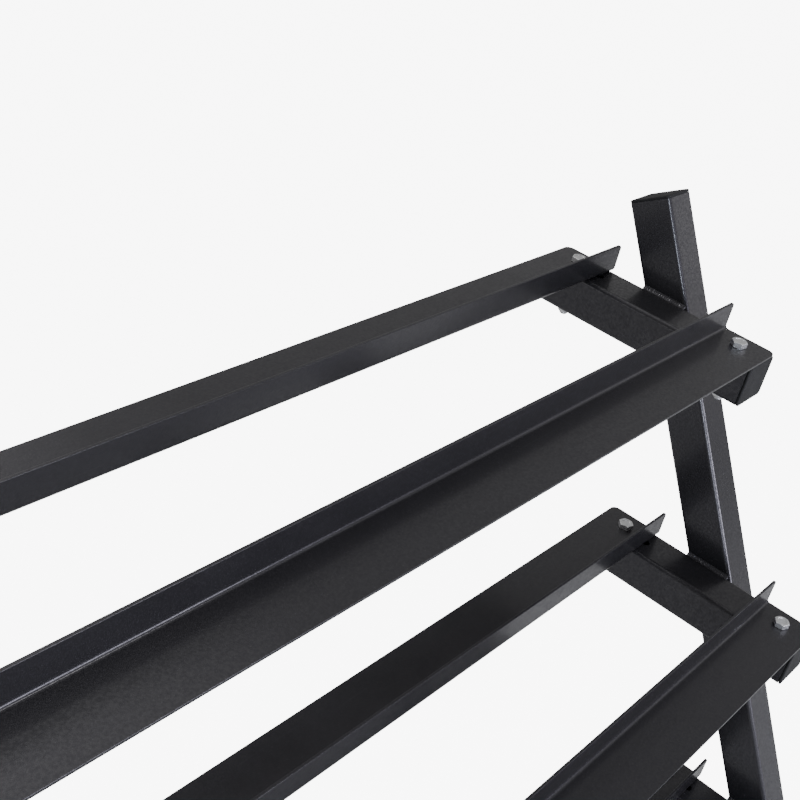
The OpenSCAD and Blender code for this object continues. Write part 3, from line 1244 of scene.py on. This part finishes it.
@dataclass
class Rail:
    """One folded rail: a plate with round corners and a flange that stands on its inner edge."""

    tier: str
    end: str
    layout: Layout
    finishes: Finishes
    height: float = 28 * MM
    fold: float = 2.5 * MM
    plate_corner: float = 7 * MM
    flange_corner: float = 4 * MM
    edge: float = 0.45 * MM

    def build(self) -> None:
        """Folds the sheet, drills it for its bolts and sets it on the arms."""
        size = self.layout
        bm = self._folded()
        for sign in (-1, 1):
            drill = cylinder(size.bolt_hole, -size.sheet, 2 * size.sheet)
            drill.transform(at(sign * size.arm_x, size.rail_width / 2, 0))
            bm = carve(bm, drill, Cut.REMOVE)
        soften(bm, self.edge)
        edge = size.tier_depth / 2
        place = at(y=-edge) if self.end == "front" else Matrix.Diagonal((1, -1, 1, 1)) @ at(y=-edge)
        publish(
            f"{self.tier}_{self.end}_rail_sheet",
            bm,
            size.tier(self.tier) @ place,
            [self.finishes.rail],
            Slot.RAIL,
            [f"{self.tier}_{self.end}_rail"],
        )

    def _folded(self) -> bmesh.types.BMesh:
        """Draws the square section, runs it along the rack and rounds the fold and corners."""
        size = self.layout
        wide, thick, tall = size.rail_width, size.sheet, self.height
        half = size.rail_end
        inside = wide - thick
        section = [(0, 0), (wide, 0), (wide, tall), (inside, tall), (inside, thick), (0, thick)]
        bm = bmesh.new()
        face = bm.faces.new([bm.verts.new((-half, y, z)) for y, z in section])
        run = bmesh.ops.extrude_face_region(bm, geom=[face])
        moved = [v for v in run["geom"] if isinstance(v, bmesh.types.BMVert)]
        bmesh.ops.translate(bm, verts=moved, vec=(2 * half, 0, 0))
        for y, z, radius in ((wide, 0, self.fold + thick), (wide - thick, thick, self.fold)):
            spot = Vector((y, z))
            folds = [e for e in length_edges(bm, 0) if (e.verts[0].co.yz - spot).length < 1e-6]
            round_edges(bm, folds, radius, 10)
        plate = [e for e in length_edges(bm, 2) if e.verts[0].co.y < 1e-6]
        round_edges(bm, plate, self.plate_corner, 12)
        flange = [e for e in length_edges(bm, 1) if min(v.co.z for v in e.verts) > tall - 1e-6]
        flange = [e for e in flange if abs(abs(e.verts[0].co.x) - half) < 1e-6]
        round_edges(bm, flange, self.flange_corner, 10)
        return bm


# ---------------------------------------------------------------- fixings


@dataclass
class Fixings:
    """Bolts, washers and lock nuts of one tier, and the screws of the pads."""

    layout: Layout
    finishes: Finishes
    thread: float = 4 * MM
    pitch: float = 1.25 * MM
    flats: float = 13 * MM
    head: float = 5.5 * MM
    washer: float = 8.5 * MM
    washer_thick: float = 1.6 * MM
    nut: float = 8 * MM
    nut_body: float = 6 * MM
    insert: float = 5 * MM
    thread_out: float = 3 * MM
    screw_head: float = 4.5 * MM
    screw_shank: float = 2.4 * MM
    slot: tuple[float, float] = (4.6 * MM, 0.9 * MM)
    slot_depth: float = 1.3 * MM
    seed: int = 7

    def build(self) -> None:
        """Builds the fixings of every tier and the pad screws."""
        shuffle = random.Random(self.seed)
        for tier in TIERS:
            self._set(f"{tier}_bolts", f"{tier}_bolt_set", tier, self._bolt, shuffle)
            self._set(f"{tier}_washers", f"{tier}_washer_set", tier, self._washer, shuffle)
            self._set(f"{tier}_nuts", f"{tier}_lock_nut_set", tier, self._lock_nut, shuffle)
        self._screws(shuffle)

    def _set(
        self,
        node: str,
        name: str,
        tier: str,
        make: Callable[[], bmesh.types.BMesh],
        shuffle: random.Random,
    ) -> None:
        """Puts one fixing at each bolt place of a tier.

        Args:
            node: The frame's node that the set stands for.
            name: Name of the new piece.
            tier: The tier.
            make: Builds one fixing at the origin, on the arm's top face.
            shuffle: Turns each fixing a little.
        """
        size = self.layout
        place = size.tier(tier)
        parts = []
        for x in (-size.arm_x, size.arm_x):
            for y in (-size.bolt_offset, size.bolt_offset):
                spun = turn(shuffle.uniform(0, 60), "Z")
                parts.append((make(), place @ at(x, y, 0.0) @ spun))
        materials = [self.finishes.zinc, self.finishes.nylon]
        publish(name, joined(parts), Matrix.Identity(4), materials, Slot.ZINC, [node])

    def _hexagon(self, low: float, high: float) -> bmesh.types.BMesh:
        """A hexagonal prism with chamfered corners at its upper end.

        Args:
            low: Lower end.
            high: Upper end.

        Returns:
            The chamfered prism.
        """
        bm = cylinder(self.flats / 2 / math.cos(math.pi / 6), low, high, 6)
        radius = self.flats / 2
        slope = math.tan(math.radians(60))
        reach = 4 * MM
        cone = lathe(
            [
                (0.0, low - MM),
                (radius + reach, low - MM),
                (radius + reach, high - reach / slope + 0.1 * MM),
                (radius - 0.35 * MM, high),
                (0.0, high),
            ]
        )
        return carve(bm, cone, Cut.KEEP_SHARED)

    def _bolt(self) -> bmesh.types.BMesh:
        """One bolt: a chamfered, dished head with a washer face, and a threaded shank."""
        size = self.layout
        top = size.sheet + self.head
        head = self._hexagon(size.sheet + 0.4 * MM, top)
        dish = cylinder(self.flats * 0.33, top - 0.5 * MM, top + MM)
        head = carve(head, dish, Cut.REMOVE)
        soften(head, 0.4 * MM)
        collar = cylinder(self.flats * 0.47, size.sheet, size.sheet + 0.45 * MM)
        soften(collar, 0.1 * MM)
        end = -size.arm_height - self.washer_thick - self.nut - self.thread_out
        outline = [(0.0, end), (self.thread * 0.72, end), (self.thread * 0.98, end + 1.1 * MM)]
        height = end + 1.4 * MM
        depth = self.pitch * 0.5
        while height < -size.arm_height - self.washer_thick + 6 * MM:
            outline.append((self.thread - depth, height))
            outline.append((self.thread, height + self.pitch * 0.42))
            outline.append((self.thread, height + self.pitch * 0.58))
            height += self.pitch
        plain = self.thread - 0.1 * MM
        outline += [(plain, height), (plain, size.sheet), (0.0, size.sheet)]
        shank = lathe(outline, 32)
        shank.verts.layers.float.new(EDGE_LAYER)
        none = Matrix.Identity(4)
        return joined([(head, none), (collar, none), (shank, none)])

    def _washer(self) -> bmesh.types.BMesh:
        """One flat washer under the arm."""
        top = -self.layout.arm_height
        low = top - self.washer_thick
        inner = self.layout.bolt_hole
        outline = [(inner, low), (self.washer, low), (self.washer, top), (inner, top), (inner, low)]
        bm = lathe(outline, 48)
        soften(bm, 0.2 * MM)
        return bm

    def _lock_nut(self) -> bmesh.types.BMesh:
        """One lock nut: a chamfered hexagon, a rolled collar and the nylon ring in its mouth."""
        top = -self.layout.arm_height - self.washer_thick
        hexagon = self._hexagon(0.0, self.nut_body)
        bore = cylinder(self.thread * 1.01, -MM, self.nut + MM)
        hexagon = carve(hexagon, bore, Cut.REMOVE)
        soften(hexagon, 0.2 * MM)
        collar = lathe(
            [
                (self.insert, 5.6 * MM),
                (6.1 * MM, 5.6 * MM),
                (6.1 * MM, 7.2 * MM),
                (5.7 * MM, 7.8 * MM),
                (5.1 * MM, self.nut),
                (4.7 * MM, 7.9 * MM),
                (self.insert, 7.5 * MM),
                (self.insert, 5.6 * MM),
            ]
        )
        soften(collar, 0.12 * MM, angle=50.0)
        ring = lathe(
            [
                (self.thread, self.nut_body),
                (self.insert, self.nut_body),
                (self.insert, 7.5 * MM),
                (self.thread, 7.3 * MM),
                (self.thread, self.nut_body),
            ]
        )
        ring.verts.layers.float.new(EDGE_LAYER)
        for face in ring.faces:
            face.material_index = 1
        flip = at(z=top) @ Matrix.Diagonal((1, 1, -1, 1))
        return joined([(hexagon, flip), (collar, flip), (ring, flip)])

    def _screws(self, shuffle: random.Random) -> None:
        """The pan-head screws that hold the pads, with a cross recess underneath."""
        low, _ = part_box("pad_screws")
        parts = []
        for side in SIDES:
            for end in ENDS:
                middle = self.layout.middle(f"{side}_foot_{end}_pad")
                spun = turn(shuffle.uniform(0, 90), "Z")
                parts.append((self._screw(), at(middle.x, middle.y, low.z) @ spun))
        here = Matrix.Identity(4)
        zinc = [self.finishes.zinc]
        publish("pad_screw_set", joined(parts), here, zinc, Slot.ZINC, ["pad_screws"])

    def _screw(self) -> bmesh.types.BMesh:
        """One pan-head screw, head down."""
        low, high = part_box("pad_screws")
        tall = high.z - low.z
        head, shank = self.screw_head, self.screw_shank
        outline = [(0.0, 0.0), (head * 0.6, 0.15 * MM), (head * 0.9, 0.7 * MM)]
        outline += [(head, 1.5 * MM), (head, 2.4 * MM)]
        outline += [(shank, 2.5 * MM), (shank, tall - 2 * MM), (shank * 0.4, tall), (0.0, tall)]
        bm = lathe(outline, 40)
        for degrees in (0, 90):
            slot = rounded_column(*self.slot, -MM, self.slot_depth, 0.2 * MM)
            slot.transform(turn(degrees, "Z"))
            bm = carve(bm, slot, Cut.REMOVE)
        soften(bm, 0.1 * MM, angle=40.0)
        return bm


# ---------------------------------------------------------------- studio


@dataclass(frozen=True)
class SoftBox:
    """One rectangular studio light."""

    name: str
    place: tuple[float, float, float]
    aim: tuple[float, float, float]
    size: tuple[float, float]
    glow: float
    colour: tuple[float, float, float] = (1.0, 1.0, 1.0)

    def build(self) -> None:
        """Hangs the light; its power follows from its size and how bright its face glows."""
        data = bpy.data.lights.new(f"studio_{self.name}", "AREA")
        data.shape = "RECTANGLE"
        data.size, data.size_y = self.size
        data.energy = self.glow * math.pi * self.size[0] * self.size[1]
        data.color = self.colour
        obj = bpy.data.objects.new(f"studio_{self.name}", data)
        obj.location = self.place
        way = Vector(self.aim) - Vector(self.place)
        obj.rotation_euler = way.to_track_quat("-Z", "Y").to_euler()
        bpy.context.scene.collection.objects.link(obj)


@dataclass(frozen=True)
class Studio:
    """Floor, lights and camera."""

    camera_place: tuple[float, float, float] = (-0.485, -0.4486, 1.0788)
    camera_azimuth: float = 50.25
    camera_elevation: float = 21.54
    lens: float = 58.5
    floor_size: float = 80.0
    floor_glow: float = 0.0
    floor_white: float = 8.0
    sky: float = 0.33
    lights: tuple[SoftBox, ...] = (
        SoftBox("near", (-1.6, -2.3, 1.0), (0.3, 0.0, 0.6), (0.3, 1.2), 30.0, (0.8, 0.89, 1.0)),
        SoftBox("front_left", (-1.4, -2.4, 0.3), (0, 0, 0.5), (1.0, 0.6), 6.6, (0.86, 0.87, 1.0)),
        SoftBox("front_low", (0.8, -2.3, 0.4), (0, 0, 0.6), (1.4, 0.7), 10.5, (0.87, 0.87, 1.0)),
        SoftBox("side", (2.5, -1.05, 0.95), (0.5, 0.0, 0.6), (1.5, 1.1), 0.4, (0.97, 0.95, 1.0)),
        SoftBox("fold", (0.95, -1.6, 2.5), (0.0, 0.0, 0.6), (0.8, 0.6), 6.0),
        SoftBox("back", (0.25, 1.3, 2.5), (0.0, 0.1, 0.6), (0.9, 0.5), 7.6),
        SoftBox("top", (0.3, 0.4, 3.0), (0.1, 0.0, 0.5), (2.0, 1.6), 0.5),
        SoftBox("left_back", (-2.2, 1.4, 0.9), (0.3, 0.0, 0.6), (1.2, 1.2), 0.8),
    )

    def build(self) -> None:
        """Sets up the floor, the world, the lights and the camera."""
        self._floor()
        self._world()
        for light in self.lights:
            light.build()
        self._camera()

    def _floor(self) -> None:
        """The pale floor, which glows evenly towards the lens as a lit sweep does."""
        bm = bmesh.new()
        bmesh.ops.create_grid(bm, x_segments=1, y_segments=1, size=self.floor_size / 2)
        obj = bpy.data.objects.new("studio_floor", mesh_of(bm, "studio_floor"))
        bpy.context.scene.collection.objects.link(obj)
        material, g, shader = blank("studio_floor_paint")
        shader.inputs["Base Color"].default_value = (0.8, 0.8, 0.8, 1)
        shader.inputs["Roughness"].default_value = 0.9
        shader.inputs["Specular IOR Level"].default_value = 0.0
        shader.inputs["Emission Color"].default_value = (1, 1, 1, 1)
        seen = g.node("LightPath").outputs["Is Camera Ray"]
        glow = g.span(seen, 0.0, 1.0, self.floor_glow, self.floor_white)
        g.link(glow, shader.inputs["Emission Strength"])
        obj.data.materials.append(material)
        obj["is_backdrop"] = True

    def _world(self) -> None:
        """A dim even surround."""
        world = bpy.data.worlds.new("studio")
        world.use_nodes = True
        g = Graph(world.node_tree)
        ground = next(n for n in world.node_tree.nodes if n.type == "BACKGROUND")
        seen = g.node("LightPath").outputs["Is Camera Ray"]
        g.link(g.span(seen, 0.0, 1.0, self.sky, self.floor_white), ground.inputs["Strength"])
        ground.inputs["Color"].default_value = (1, 1, 1, 1)
        bpy.context.scene.world = world

    def _camera(self) -> None:
        """The camera, which looks back and down across the top tier."""
        data = bpy.data.cameras.new("studio_camera")
        data.lens = self.lens
        data.sensor_width = 36.0
        data.clip_start = 0.05
        data.clip_end = 200.0
        obj = bpy.data.objects.new("studio_camera", data)
        obj.location = self.camera_place
        azimuth = math.radians(self.camera_azimuth)
        pitch = math.radians(90 - self.camera_elevation)
        obj.rotation_euler = (pitch, 0.0, -azimuth)
        bpy.context.scene.collection.objects.link(obj)
        bpy.context.scene.camera = obj


def write_sizes() -> None:
    """Works out the frame's box and the finished model's box as plain lists, and keeps neither."""
    boxes = {"cad": CAD_BOX, "visual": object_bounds()}
    plain = {name: [list(corner) for corner in box] for name, box in boxes.items()}


def main() -> None:
    """Builds the rack around the frame and sets up the studio."""
    logging.basicConfig(level=logging.INFO, format="%(name)s: %(message)s")
    Studio().build()
    layout = Layout()
    finishes = Finishes()
    for side in SIDES:
        SideFrame(side, layout, finishes).build()
    for tier in TIERS:
        for end in ENDS:
            Rail(tier, end, layout, finishes).build()
    Fixings(layout, finishes).build()
    write_sizes()


if __name__ == "__main__":
    main()
